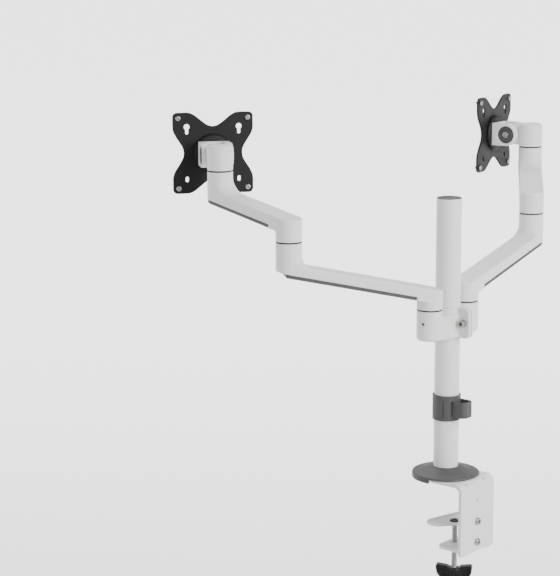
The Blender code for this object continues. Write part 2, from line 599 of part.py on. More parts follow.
def make_swivel_head(name, parent):
    """The block that turns on the upper link, with a tongue for the tilt joint."""
    edge = 0.006
    profile = [(0, HEAD_HEIGHT)]
    profile += [(x, z) for x, z in arc((HUB_RADIUS - edge, HEAD_HEIGHT - edge), edge, 90, 0, 5)]
    profile += [(HUB_RADIUS, SEAM), (0, SEAM)]
    head = turned(name, profile, FINE)
    nose = 0.0150
    outline = [(0.0, TILT_Z - 0.0165), (TILT_X, TILT_Z - nose)]
    outline += arc((TILT_X, TILT_Z), nose, -80, 80, 10)
    outline += [(TILT_X, TILT_Z + nose), (0.0, HEAD_HEIGHT - 0.0015)]
    join(head, extruded(name + "_tongue", outline, -TONGUE_HALF, TONGUE_HALF, SIDEWAYS))
    cut(head, rod(name + "_tilt_bore", 0.0043, -0.03, 0.03, MEDIUM, ALONG_Y, (TILT_X, 0, TILT_Z)))
    cut(head, rod(name + "_seat", PIN_RADIUS + GAP, -0.01, PIN_UP + 0.0005, MEDIUM))
    finish(head, name, WHITE_COAT, parent)


def make_fork(name, parent):
    """The yoke round the tongue, in the tilt joint's frame."""
    front = FORK_FRONT - TILT_X
    outline = arc((0, 0), FORK_RADIUS, 90, 270, 16) + [(front, -FORK_RADIUS), (front, FORK_RADIUS)]
    fork = extruded(name, outline, -FORK_HALF, FORK_HALF, SIDEWAYS)
    inner = TONGUE_HALF + GAP
    slot_end = front - FORK_WALL
    gap = [(-0.03, -0.03), (slot_end, -0.03), (slot_end, 0.03), (-0.03, 0.03)]
    cut(fork, extruded(name + "_slot", gap, -inner, inner, SIDEWAYS))
    cut(fork, rod(name + "_bore", 0.0043, -0.03, 0.03, MEDIUM, ALONG_Y))
    cut(fork, rod(name + "_recess", 0.0135, FORK_HALF - 0.0030, 0.03, MEDIUM + 4, ALONG_Y))
    cut(fork, rod(name + "_disc_bore", 0.0033, 0, 0.03, COARSE, ALONG_X))
    finish(fork, name, WHITE_COAT, parent)

    seat = FORK_HALF - 0.0030 + GAP
    profile = [(0, seat + 0.0020), (0.0128, seat + 0.0020), (0.0132, seat + 0.0016), (0.0132, seat)]
    profile += [(0.004, seat), (0.004, -FORK_HALF + 0.0015), (0, -FORK_HALF + 0.0015)]
    bolt = turned(name + "_bolt", profile, MEDIUM + 4)
    cut(bolt, extruded(name + "_bolt_socket", circle((0, 0), 0.0033, 6), seat + 0.0005, seat + 0.01))
    bolt.data.transform(ALONG_Y)
    for modifier in bolt.modifiers:
        modifier.object.data.transform(ALONG_Y)
    return bolt


def make_plate_group(prefix, fork, plate):
    """The turning disc on the fork's front, and the slotted plate that a screen is screwed to."""
    back = PLATE_BACK - TILT_X
    start = FORK_FRONT - TILT_X + GAP
    shank = 0.0030
    profile = [(0, back - GAP), (DISC_RADIUS, back - GAP), (DISC_RADIUS, back - 0.0030)]
    profile += [(DISC_RADIUS - 0.0025, start), (shank, start), (shank, start - 0.008), (0, start - 0.008)]
    disc = turned("disc", profile, FINE, ALONG_X)
    finish(disc, f"{prefix}_rotation_disc", BLACK_COAT, fork)

    corner, dip, waist = 0.0085, 0.0200, 0.0160
    holes = [circle((x, y), 0.0024, COARSE) for x in (-SCREW_PITCH, SCREW_PITCH)
             for y in (-SCREW_PITCH, SCREW_PITCH)]
    holes += [slot((x, -SMALL_PITCH), 0.0016, 0.0024) for x in (-SMALL_PITCH, SMALL_PITCH)]
    holes += [keyhole((x, SMALL_PITCH)) for x in (-SMALL_PITCH, SMALL_PITCH)]
    outline = scalloped(PLATE_HALF, corner, dip, waist)
    vesa = extruded("vesa", outline, back, back + PLATE_THICK, FORWARD, holes)
    finish(vesa, f"{prefix}_vesa_plate", BLACK_COAT, plate)
    for row, z in (("top", SCREW_PITCH), ("bottom", -SCREW_PITCH)):
        for column, y in (("left", SCREW_PITCH), ("right", -SCREW_PITCH)):
            turn = Matrix.Rotation(math.pi, 4, "Z") @ ALONG_X
            screw = cap_screw("screw", 0.0019, 0.0090, 0.0039, 0.0026, 0.0013, turn)
            screw.location = (back - GAP, y, z)
            finish(screw, f"{prefix}_screen_screw_{row}_{column}", ZINC_STEEL, plate)


def keyhole(centre):
    """Wide at the top and narrow below, to hang the plate on screws that are already in."""
    x, y = centre
    wide, narrow, drop = 0.0042, 0.0023, 0.0085
    bite = math.degrees(math.asin(narrow / wide))
    return arc((x, y), wide, -90 + bite, 270 - bite, 12) + arc((x, y - drop), narrow, 180, 360, 5)


def scalloped(half, corner, dip, waist):
    """A square whose top and bottom dip and whose sides draw in, between four rounded corners."""
    points = []
    tab = 0.021
    steps = 8
    for quarter in range(4):
        depth = dip if quarter % 2 == 0 else waist
        turn = Matrix.Rotation(math.radians(90 * quarter), 2)
        edge = []
        for i in range(steps + 1):
            across = (half - tab) * (1 - 2 * i / steps)
            edge.append((across, half - depth * (0.5 + 0.5 * math.cos(math.pi * across / (half - tab)))))
        edge += arc((-half + corner, half - corner), corner, 90, 180, 4)
        points += [tuple(turn @ Vector(p)) for p in edge]
    return points


def make_arm(prefix, hubs):
    side, azimuths = POSES[prefix]["side"], POSES[prefix]["azimuths"]
    hub = joint_empty(f"{prefix}_hub", hubs, (side * HUB_OFFSET, 0, HUB_SEAM))
    shoulder = joint_empty(f"{prefix}_shoulder", hub, (0, 0, 0), azimuths[0])
    lower_end, upper_end = (LOWER["reach"], 0, LOWER["rise"]), (UPPER["reach"], 0, UPPER["rise"])
    elbow = joint_empty(f"{prefix}_elbow", shoulder, lower_end, azimuths[1] - azimuths[0])
    head = joint_empty(f"{prefix}_head", elbow, upper_end, azimuths[2] - azimuths[1])
    tilt = joint_empty(f"{prefix}_tilt", head, (TILT_X, 0, TILT_Z))
    plate = joint_empty(f"{prefix}_rotation", tilt, (0, 0, 0))

    make_seam(f"{prefix}_shoulder", hub, shoulder)
    grub_at = make_link(f"{prefix}_lower_link", LOWER, shoulder)
    grub_screw(f"{prefix}_elbow_grub_screw", shoulder, HUB_RADIUS + 0.0010, grub_at, GRUB_AZIMUTH)
    elbow_seat = joint_empty(f"{prefix}_elbow_seat", shoulder, lower_end)
    make_seam(f"{prefix}_elbow", elbow_seat, elbow)
    make_link(f"{prefix}_upper_link", UPPER, elbow)
    head_seat = joint_empty(f"{prefix}_head_seat", elbow, upper_end)
    make_seam(f"{prefix}_swivel", head_seat, head)
    make_swivel_head(f"{prefix}_swivel_head", head)
    bolt = make_fork(f"{prefix}_tilt_fork", tilt)
    finish(bolt, f"{prefix}_tilt_bolt", DARK_STEEL, tilt)
    make_plate_group(prefix, tilt, plate)


def main():
    make_post()
    make_post_bolt()
    make_flange()
    make_bracket()
    make_jaw()
    make_jaw_screws()
    press = joint_empty("press", None, (0, SPINDLE_Y, 0))
    make_press(press, joint_empty("spindle_axis", press, (0, 0, 0)))
    make_clip(joint_empty("clip_seat", None, (0, 0, 0)))
    hubs = joint_empty("post_clamp", None, (0, 0, 0))
    make_post_clamp(hubs)
    for prefix in POSES:
        make_arm(prefix, hubs)


main()
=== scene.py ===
"""Detailed surfaces, materials, light and camera for a dual monitor arm on a desk clamp.

Every shape is written as a signed distance in metres, negative inside, in the frame of its own joint. Such
distances can be joined and cut with true fillets, as on castings and moulded plastic, and solid() turns one
into a mesh. Turned and threaded pieces are swept from their profiles.
"""

import json
import math

import bpy
import numpy as np
from mathutils import Matrix, Vector


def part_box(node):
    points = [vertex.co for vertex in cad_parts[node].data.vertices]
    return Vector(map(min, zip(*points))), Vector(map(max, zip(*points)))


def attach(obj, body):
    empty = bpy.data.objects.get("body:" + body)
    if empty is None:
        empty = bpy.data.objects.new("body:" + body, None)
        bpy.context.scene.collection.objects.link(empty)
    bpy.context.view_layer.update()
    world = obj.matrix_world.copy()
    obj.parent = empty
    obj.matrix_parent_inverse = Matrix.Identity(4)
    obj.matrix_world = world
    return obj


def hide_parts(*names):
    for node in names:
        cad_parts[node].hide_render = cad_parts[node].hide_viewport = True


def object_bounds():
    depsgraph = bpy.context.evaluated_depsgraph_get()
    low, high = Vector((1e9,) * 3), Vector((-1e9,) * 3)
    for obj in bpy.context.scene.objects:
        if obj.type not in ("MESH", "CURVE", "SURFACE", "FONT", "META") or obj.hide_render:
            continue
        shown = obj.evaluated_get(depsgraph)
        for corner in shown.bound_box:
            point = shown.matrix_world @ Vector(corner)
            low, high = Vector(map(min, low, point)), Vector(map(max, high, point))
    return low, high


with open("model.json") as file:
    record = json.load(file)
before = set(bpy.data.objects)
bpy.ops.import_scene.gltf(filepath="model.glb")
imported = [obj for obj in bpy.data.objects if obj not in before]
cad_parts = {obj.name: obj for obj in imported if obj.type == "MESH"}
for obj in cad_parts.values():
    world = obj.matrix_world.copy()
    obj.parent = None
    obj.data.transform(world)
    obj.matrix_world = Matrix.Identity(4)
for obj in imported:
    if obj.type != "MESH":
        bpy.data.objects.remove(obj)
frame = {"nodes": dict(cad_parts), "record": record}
CAD_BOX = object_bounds()
RECORD = frame["record"]
JOINTS = {joint["name"]: joint for joint in RECORD["behaviour"]["joints"]}
BODY_OF = {node: body for body, nodes in RECORD["behaviour"]["bodies"].items() for node in nodes}
SLOT_OF = {part["node"]: part["material_slot"] for part in RECORD["subparts"]}
SIDES = ("left", "right")

MM = 0.001
SEAM = 1.0 * MM                 # each part of a joint stands this far off the seam's middle
CRISP = 0.4 * MM                # the smallest rounding of a cast or moulded edge
HUB = 18.0 * MM                 # radius of every hub
POST = (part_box("post")[1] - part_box("post")[0]).x / 2


# ---------------------------------------------------------------- signed distances

def both(a, b, radius=CRISP):
    """Where two solids overlap, with the edge between them rounded."""
    out = np.hypot(np.maximum(a + radius, 0), np.maximum(b + radius, 0)) - radius
    return out + np.minimum(np.maximum(a + radius, b + radius), 0)


def either(a, b, radius=CRISP):
    """Two solids joined, with a fillet in the corner between them."""
    return -both(-a, -b, radius)


def without(a, b, radius=CRISP):
    return both(a, -b, radius)


def span(value, low, high):
    return np.maximum(low - value, value - high)


def disc(u, v, radius, centre=(0, 0)):
    return np.hypot(u - centre[0], v - centre[1]) - radius


def bar(x, y, length, radius):
    """A stadium from the origin along +X."""
    return np.hypot(x - np.clip(x, 0, length), y) - radius


def hexagon(u, v, across):
    u, v = np.abs(u), np.abs(v)
    return np.maximum(v, u * math.sin(math.radians(60)) + v * 0.5) - across / 2


def polygon(points):
    """The signed distance to a closed outline."""
    corners = [tuple(p) for p in points]
    edges = list(zip(corners, corners[1:] + corners[:1]))

    def distance(u, v):
        nearest, inside = np.inf, False
        for (ax, ay), (bx, by) in edges:
            ex, ey = bx - ax, by - ay
            along = np.clip(((u - ax) * ex + (v - ay) * ey) / (ex * ex + ey * ey), 0, 1)
            nearest = np.minimum(nearest, np.hypot(u - ax - along * ex, v - ay - along * ey))
            if ay != by:
                crossing = ((ay <= v) != (by <= v)) & (u < ax + (v - ay) / (by - ay) * ex)
                inside = inside ^ crossing
        return np.where(inside, -nearest, nearest)

    return distance


def arc(centre, radius, start, end, steps):
    angles = [math.radians(start + (end - start) * i / steps) for i in range(steps + 1)]
    return [(centre[0] + radius * math.cos(a), centre[1] + radius * math.sin(a)) for a in angles]


# ---------------------------------------------------------------- meshes

def gradient(field, points):
    """Which way the distance grows at each point, and how fast."""
    step = 0.02 * MM
    found = np.empty_like(points)
    for axis in range(3):
        ahead, behind = points.copy(), points.copy()
        ahead[:, axis] += step
        behind[:, axis] -= step
        found[:, axis] = (field(*ahead.T) - field(*behind.T)) / (2 * step)
    return found


def net(grid):
    """Surface nets: one vertex in each cell that the surface crosses, one quad round each crossed edge."""
    inside = grid < 0
    cells = tuple(n - 1 for n in grid.shape)
    corners = [(i, j, k) for i in (0, 1) for j in (0, 1) for k in (0, 1)]
    filled = sum(inside[i:i + cells[0], j:j + cells[1], k:k + cells[2]].astype(np.int8)
                 for i, j, k in corners)
    active = (filled > 0) & (filled < 8)
    index = np.full(cells, -1)
    index[active] = np.arange(active.sum())
    where = np.argwhere(active)
    total, count = np.zeros((len(where), 3)), np.zeros(len(where))
    quads = []
    for axis in range(3):
        u, v = (axis + 1) % 3, (axis + 2) % 3
        along, beside, above = (np.eye(3, dtype=int)[i] for i in (axis, u, v))
        for offset in (beside * 0, beside, above, beside + above):
            start = where + offset
            a, b = grid[tuple(start.T)], grid[tuple((start + along).T)]
            hit = (a < 0) != (b < 0)
            share = np.where(hit, a / np.where(hit, a - b, 1), 0)
            total[hit] += (start + share[:, None] * along)[hit]
            count += hit
        low = np.take(inside, range(grid.shape[axis] - 1), axis=axis)
        high = np.take(inside, range(1, grid.shape[axis]), axis=axis)
        for flip, change in ((False, low & ~high), (True, ~low & high)):
            edge = np.argwhere(change)
            ring = [index[tuple((edge - step).T)] for step in (beside + above, above, beside * 0, beside)]
            quads.append(np.stack(ring[::-1] if flip else ring, axis=1))
    return total / count[:, None], np.concatenate(quads)


def solid(name, field, low, high, step, place=Matrix.Identity(4), flat=0.8):
    """A mesh of the surface where a distance is zero. Flat areas are merged to within `flat` degrees."""
    low = np.array(low) - 2.5 * step
    ticks = [np.arange(a, b + 2.5 * step, step) for a, b in zip(low, high)]
    grid = field(*np.meshgrid(*ticks, indexing="ij", sparse=True))
    points, quads = net(np.broadcast_to(grid, [len(t) for t in ticks]))
    points = points * step + low
    for _ in range(3):
        slope = gradient(field, points)
        size = np.maximum((slope ** 2).sum(axis=1), 0.2)
        move = np.clip(field(*points.T) / size, -step, step)
        points -= slope * move[:, None]
    mesh = bpy.data.meshes.new(name)
    mesh.from_pydata(points, [], quads)
    mesh.transform(place)
    mesh.shade_smooth()
    obj = bpy.data.objects.new(name, mesh)
    bpy.context.scene.collection.objects.link(obj)
    if flat:
        merge = obj.modifiers.new("Merge", "DECIMATE")
        merge.decimate_type = "DISSOLVE"
        merge.angle_limit = math.radians(flat)
    obj.modifiers.new("Normals", "WEIGHTED_NORMAL").weight = 90
    return bake(obj)


def bake(obj):
    """Replaces an object's modifiers by their result."""
    bpy.context.view_layer.update()
    result = bpy.data.meshes.new_from_object(obj.evaluated_get(bpy.context.evaluated_depsgraph_get()))
    obj.modifiers.clear()
    obj.data = result
    return obj


def swept(name, rings, place=Matrix.Identity(4)):
    """A closed skin over rings of points, from the top down, with a cap on each end."""
    sides = len(rings[0])
    points = [p for ring in rings for p in ring]
    faces = [tuple(range(sides))]
    for i in range(len(rings) - 1):
        for j in range(sides):
            k = (j + 1) % sides
            faces.append((i * sides + j, (i + 1) * sides + j, (i + 1) * sides + k, i * sides + k))
    faces.append(tuple((len(rings) - 1) * sides + j for j in range(sides))[::-1])
    mesh = bpy.data.meshes.new(name)
    mesh.from_pydata(points, [], faces)
    mesh.transform(place)
    mesh.shade_smooth()
    mesh.set_sharp_from_angle(angle=math.radians(50))
    obj = bpy.data.objects.new(name, mesh)
    bpy.context.scene.collection.objects.link(obj)
    return obj


def turned(name, profile, place=Matrix.Identity(4), sides=96):
    """A profile of (radius, height) points, from the top down the outside, turned about Z."""
    rings = [[(r * math.cos(2 * math.pi * j / sides), r * math.sin(2 * math.pi * j / sides), z)
              for j in range(sides)] for r, z in profile]
    return swept(name, rings, place)


def threaded(name, radius, depth, pitch, top, bottom, place, sides=24):
    """A rod with a rolled thread. Each ring is level, and the thread's phase runs round it."""
    rings = []
    rows = round((top - bottom) / pitch * 8)
    for i in range(rows + 1):
        z = top + (bottom - top) * i / rows
        fade = min(1.0, (top - z) / pitch, (z - bottom) / pitch)
        ring = []
        for j in range(sides):
            phase = (z / pitch - j / sides) % 1
            r = radius - depth * fade * (1 - abs(2 * phase - 1)) ** 0.8
            ring.append((r * math.cos(2 * math.pi * j / sides), r * math.sin(2 * math.pi * j / sides), z))
        rings.append(ring)
    return swept(name, rings, place)


# ---------------------------------------------------------------- materials

def material(name, colour, roughness, metallic=0.0, grain=0.6 * MM, relief=0.12, cloud=0.03, specular=0.5):
    """A painted, moulded or metal surface: fine relief, and slow changes in colour and gloss."""
    mat = bpy.data.materials.new(name)
    mat.use_nodes = True
    nodes, links = mat.node_tree.nodes, mat.node_tree.links
    shader = nodes["Principled BSDF"]
    shader.inputs["Metallic"].default_value = metallic
    shader.inputs["Specular IOR Level"].default_value = specular
    coords = nodes.new("ShaderNodeTexCoord")
    cloud_size, gloss_swing = 45 * MM, 0.06

    def noise(size, detail):
        node = nodes.new("ShaderNodeTexNoise")
        node.inputs["Scale"].default_value = 1 / size
        node.inputs["Detail"].default_value = detail
        links.new(coords.outputs["Object"], node.inputs["Vector"])
        return node.outputs["Fac"]

    broad, fine = noise(cloud_size, 3), noise(grain, 2)
    tint = nodes.new("ShaderNodeMix")
    tint.data_type = "RGBA"
    tint.inputs["A"].default_value = (*(c * (1 - cloud) for c in colour), 1)
    tint.inputs["B"].default_value = (*(min(1, c * (1 + cloud)) for c in colour), 1)
    links.new(broad, tint.inputs["Factor"])
    links.new(tint.outputs["Result"], shader.inputs["Base Color"])
    gloss = nodes.new("ShaderNodeMapRange")
    gloss.inputs["From Min"].default_value, gloss.inputs["From Max"].default_value = 0.3, 0.7
    gloss.inputs["To Min"].default_value = max(0.02, roughness - gloss_swing)
    gloss.inputs["To Max"].default_value = roughness + gloss_swing
    links.new(fine, gloss.inputs["Value"])
    links.new(gloss.outputs["Result"], shader.inputs["Roughness"])
    bump = nodes.new("ShaderNodeBump")
    bump.inputs["Strength"].default_value = relief
    bump.inputs["Distance"].default_value = grain * 0.15
    links.new(fine, bump.inputs["Height"])
    links.new(bump.outputs["Normal"], shader.inputs["Normal"])
    return mat


WHITE = material("white_powder_coat", (0.72, 0.72, 0.72), 0.42,
                 grain=0.9 * MM, relief=0.10, cloud=0.015, specular=0.35)
GREY = material("grey_plastic", (0.064, 0.064, 0.066), 0.5,
                grain=0.35 * MM, relief=0.25, cloud=0.05, specular=0.3)
SEAL = material("dark_washer_plastic", (0.02, 0.02, 0.021), 0.55,
                grain=0.4 * MM, relief=0.1, cloud=0.04, specular=0.3)
BLACK = material("black_powder_coat", (0.009, 0.009, 0.0095), 0.48,
                 grain=0.5 * MM, relief=0.35, cloud=0.08, specular=0.2)
MOULDED = material("black_plastic", (0.006, 0.006, 0.0065), 0.32,
                   grain=0.8 * MM, relief=0.12, cloud=0.06, specular=0.28)
ZINC = material("zinc_steel", (0.38, 0.38, 0.37), 0.24, 1.0, grain=0.5 * MM, relief=0.08, cloud=0.08)
OXIDE = material("dark_steel", (0.05, 0.05, 0.052), 0.34, 1.0, grain=0.4 * MM, relief=0.1, cloud=0.08)
CAP = material("textured_cap", (0.045, 0.045, 0.047), 0.42, grain=0.45 * MM, relief=0.6, cloud=0.25)
FINISHES = {"white_powder_coat": WHITE, "grey_plastic": GREY, "dark_washer_plastic": SEAL,
            "black_powder_coat": BLACK, "black_plastic": MOULDED, "zinc_steel": ZINC, "dark_steel": OXIDE}


def dress(obj, node, finish=None, stands=True):
    """Gives a piece its finish, and ties it to a CAD node: it moves with it, and stands for it."""
    obj.data.materials.clear()
    obj.data.materials.append(finish or FINISHES[SLOT_OF[node]])
    if stands:
        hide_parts(node)
    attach(obj, BODY_OF[node])
    return obj


# ---------------------------------------------------------------- places

def joint_at(name):
    return Vector(JOINTS[name]["pos_m"])


def middle_of(node):
    low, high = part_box(node)
    return (low + high) / 2


def frame_at(origin, direction):
    """A frame at a point, with its X axis along a level direction."""
    return Matrix.Translation(origin) @ Matrix.Rotation(math.atan2(direction[1], direction[0]), 4, "Z")


ALONG_X = Matrix.Rotation(math.radians(90), 4, "Y")
ALONG_Y = Matrix.Rotation(math.radians(-90), 4, "X")


# ---------------------------------------------------------------- post and its trim

def make_post():
    low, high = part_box("post")
    top, wall, edge, rows = high.z - 1.0 * MM, 2.0 * MM, 0.3 * MM, 30
    profile = [(POST - wall, top - 10 * MM), (POST - wall, top)]
    profile += arc((POST - edge, top - edge), edge, 90, 0, 3)
    profile += [(POST, top - (top - low.z) * i / rows) for i in range(1, rows + 1)]
    dress(turned("post_tube", profile, sides=128), "post")

    foot, lip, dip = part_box("post_cap")[0].z, POST - 0.25 * MM, high.z - 0.7 * MM
    spigot = POST - wall - 0.3 * MM
    profile = [(0.5 * MM, dip), (lip - 3.4 * MM, dip), (lip - 2.6 * MM, high.z - 0.1 * MM)]
    profile += [(lip - 1.9 * MM, high.z), (lip - 0.5 * MM, high.z), (lip, high.z - 0.4 * MM)]
    profile += [(lip, top + 0.05 * MM), (spigot, top - 0.1 * MM), (spigot, foot)]
    dress(turned("post_top_cap", profile), "post_cap")


def make_flange():
    low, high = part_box("base_flange")
    rim, plate = (high - low).x / 2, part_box("clamp_bracket")
    shell, shoulder, bore, gap, step = 3.0 * MM, 8.5 * MM, POST + 0.2 * MM, 0.4 * MM, 4.5 * MM
    section = [(bore, high.z - 0.3 * MM), (bore + 1.2 * MM, high.z), (bore + 5 * MM, high.z - 1.3 * MM)]
    section += [(rim - 12 * MM, shoulder + 1.9 * MM), (rim - 2.6 * MM, shoulder + 0.3 * MM)]
    section += [(rim - 0.9 * MM, shoulder - 0.5 * MM), (rim - 0.3 * MM, shoulder - 1.8 * MM)]
    section += [(rim - 0.3 * MM, low.z), (rim - shell, low.z), (rim - shell, shoulder - 3 * MM)]
    section += [(bore + 3 * MM, high.z - 5 * MM), (bore, high.z - 5 * MM)]
    shape = polygon(section)

    def field(x, y, z):
        """The cover, hollow over the bracket's plate, with its skirt cut short at the back."""
        body = shape(np.hypot(x, y), z) - 0.3 * MM
        hollow = np.maximum(np.abs(x) - plate[1].x - gap, plate[0].y - gap - y)
        hollow = np.maximum(hollow, disc(x, y, rim - 2.8 * MM))
        notch = np.maximum(np.minimum(hollow, step - y), z - plate[1].z - gap)
        return without(body, notch, 0.3 * MM)

    dress(solid("flange_cover", field, (-rim, -rim, low.z), (rim, rim, high.z), 0.8 * MM), "base_flange")


def make_clip():
    low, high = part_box("cable_clip")
    wall, inner = 2.0 * MM, POST + 0.25 * MM
    outer, middle, tall = inner + wall, (low.z + high.z) / 2, 11.25 * MM
    half, thick, reach, corner = 11.5 * MM, 2.4 * MM, high.y, 7.5 * MM
    mouth, root = 18.2 * MM, 12 * MM                        # where the hook's two sides start
    opening = polygon([(0, 0), (-30 * MM, -12 * MM), (-30 * MM, -30 * MM), (-12 * MM, -30 * MM)])

    def hook(x, y):
        edge = both(np.abs(x) - half, y - reach, corner)
        return np.maximum(np.maximum(edge, -edge - thick), np.where(x > 0, mouth, root) - y)

    def pad(x, y, azimuth):
        turn = np.arctan2(y, x) - math.radians(azimuth)
        return np.maximum(disc(x, y, outer + 1.3 * MM), np.abs(turn) * outer - 4.3 * MM)

    def field(x, y, z):
        ring = both(np.maximum(disc(x, y, outer), -disc(x, y, inner)), span(z, low.z, high.z), 0.6 * MM)
        level = span(z, middle - tall, middle + tall)
        body = either(ring, both(hook(x, y), level, 0.6 * MM), 0.8 * MM)
        for azimuth in (35.5, 7.5):
            body = either(body, both(pad(x, y, azimuth), level, 0.4 * MM), 0.3 * MM)
        body = without(body, disc(x, y, inner), 0.2 * MM)
        return without(body, opening(x, y), 0.5 * MM)

    dress(solid("clip_collar", field, low, high, 0.55 * MM), "cable_clip")


# ---------------------------------------------------------------- desk clamp

JAW_SCREWS = ("lower_jaw_screw_top", "lower_jaw_screw_bottom")


def make_bracket():
    low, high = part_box("clamp_bracket")
    half, plate, back = high.x, high.z, high.y
    bend, foot, front = 12 * MM, low.z, low.y
    outer = [(front, plate)] + arc((back - bend, plate - bend), bend, 90, 0, 14) + [(back, foot)]
    inner = [(back - plate, foot)] + arc((back - bend, plate - bend), bend - plate, 0, 90, 10) + [(front, 0)]
    section = polygon(outer + inner)
    plan = polygon([(half, back + 20 * MM), (-half, back + 20 * MM), (-half, 5 * MM)]
                   + arc((-16 * MM, front + 9 * MM), 9 * MM, 215, 270, 6)
                   + arc((16 * MM, front + 9 * MM), 9 * MM, -90, -35, 6) + [(half, 5 * MM)])
    seats = [middle_of(node).z for node in JAW_SCREWS]
    panel, corner = 21 * MM, 5 * MM
    spare = -24.5 * MM                                      # height of the unused hole

    def field(x, y, z):
        ends = both(np.abs(x) - half, foot - z, corner)
        body = both(section(y, z), np.maximum(plan(x, y), ends), 0.8 * MM)
        face = np.clip((y - back + 3 * MM) / MM, 0, 1)      # 1 outside the upright, 0 on its inner side
        within = np.clip((panel - np.abs(x)) / (1.6 * MM) + 0.5, 0, 1)
        below = np.clip((-z - 14 * MM) / (4 * MM), 0, 1)
        body = body + 0.6 * MM * within * below * face
        across = (np.abs(x) - panel) / (4.2 * MM)           # two pressed gussets across the bend
        along = (y - back + plate - z) / math.sqrt(2)
        deep = 2.6 * MM * np.clip(1 - across ** 2, 0, 1) - 0.28 * np.abs(along + 1.5 * MM)
        body = body + np.clip(deep, 0, 3 * MM) * ((y + z) > back - 9 * MM)
        body = without(body, disc(x, z, 3.4 * MM, (0, spare)), 0.6 * MM)
        for height in seats:
            body = without(body, disc(x, z, 2.9 * MM, (0, height)), 0.3 * MM)
        return without(body, disc(x, y, 7.4 * MM), 0.3 * MM)

    dress(solid("bent_bracket", field, low, high, 1.0 * MM), "clamp_bracket")


def make_jaw():
    low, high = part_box("lower_jaw")
    half, plate, leg, inner, outer = high.x, 5 * MM, 4 * MM, 3 * MM, 7 * MM
    shelf = low.z + plate
    outline = [(high.y, high.z), (high.y - leg, high.z)]
    outline += arc((high.y - leg - inner, shelf + inner), inner, 0, -90, 6)
    outline += [(low.y, shelf), (low.y, low.z)]
    outline += arc((high.y - outer, low.z + outer), outer, -90, 0, 8)
    section = polygon(outline)
    spindle = joint_at("spindle_turn")

    def field(x, y, z):
        cut = 5 * MM
        nose = (np.abs(x) - half + low.y + cut - y) / math.sqrt(2)
        body = both(section(y, z), np.maximum(np.abs(x) - half, nose), 0.9 * MM)
        level = span(z, low.z - 0.2 * MM, shelf + 0.2 * MM)
        boss = both(disc(x, y, 7 * MM, (0, spindle.y)), level, 0.3 * MM)
        return without(np.minimum(body, boss), disc(x, y, 4.25 * MM, (0, spindle.y)), 0.3 * MM)

    dress(solid("jaw_plate", field, low, high, 0.9 * MM), "lower_jaw")


def socket_screw(name, radius, head_radius, head, length, socket, place, cross=False, knurl=0.0):
    """Head on the +Z side of the origin and shank on the other."""
    def field(x, y, z):
        around = np.arctan2(y, x)
        rim = disc(x, y, head_radius) + knurl * np.cos(around * 36) * (np.abs(z - head * 0.45) < head * 0.3)
        body = both(rim, z - head, head * (0.6 if cross else 0.18))
        body = both(body, -z, 0.15 * MM)
        body = np.minimum(body, np.maximum(disc(x, y, radius), span(z, -length, head / 2)))
        if cross:
            arms = np.minimum(np.maximum(np.abs(x) - socket, np.abs(y) - socket * 0.32),
                              np.maximum(np.abs(y) - socket, np.abs(x) - socket * 0.32))
        else:
            arms = hexagon(x, y, socket * 2)
        return without(body, np.maximum(arms, head * 0.4 - z), 0.12 * MM)

    reach = head_radius + 0.2 * MM
    ends = (-reach, -reach, -length), (reach, reach, head)
    return solid(name, field, *ends, head_radius / 17, place, flat=2)


def make_jaw_screws():
    for node in JAW_SCREWS:
        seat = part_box(node)[1].y - 2.4 * MM
        place = Matrix.Translation((0, seat, middle_of(node).z)) @ ALONG_Y
        screw = socket_screw(node + "_head", 2.4 * MM, 5.3 * MM, 3.0 * MM, 10 * MM, 2.6 * MM, place,
                             cross=True)
        dress(screw, node, ZINC)


def make_press():
    low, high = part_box("pressure_plate")
    centre = joint_at("spindle_turn")
    turn = Matrix.Rotation(math.radians(-12.4), 4, "Z")
    place = Matrix.Translation((centre.x, centre.y, 0)) @ turn
    middle = polygon([(-23 * MM, -11 * MM), (23 * MM, -11 * MM), (0, 0)])
    corner, wall, dish = 15 * MM, 2.4 * MM, 2.2 * MM

    def field(x, y, z):
        edge = middle(x, y) - corner
        body = both(both(edge, z - high.z, 1.8 * MM), low.z - z, 1.8 * MM)
        hollow = both(edge + wall, high.z - dish - z, 0.9 * MM)
        return without(body, hollow, 0.7 * MM)

    reach = 39 * MM
    ends = (-reach, -27 * MM, low.z), (reach, 16 * MM, high.z)
    dress(solid("press_pad", field, *ends, 0.7 * MM, place), "pressure_plate")
    place = Matrix.Translation((centre.x, centre.y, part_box("pressure_plate_screw")[1].z - dish))
    screw = socket_screw("press_screw", 2.9 * MM, 7.2 * MM, 3.2 * MM, 12 * MM, 3.2 * MM, place, cross=True)
    dress(screw, "pressure_plate_screw")
    low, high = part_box("spindle")
    place = Matrix.Translation((centre.x, centre.y, 0))
    rod = threaded("threaded_spindle", (high - low).x / 2, 0.55 * MM, 1.25 * MM, high.z, low.z, place)
    dress(rod, "spindle")


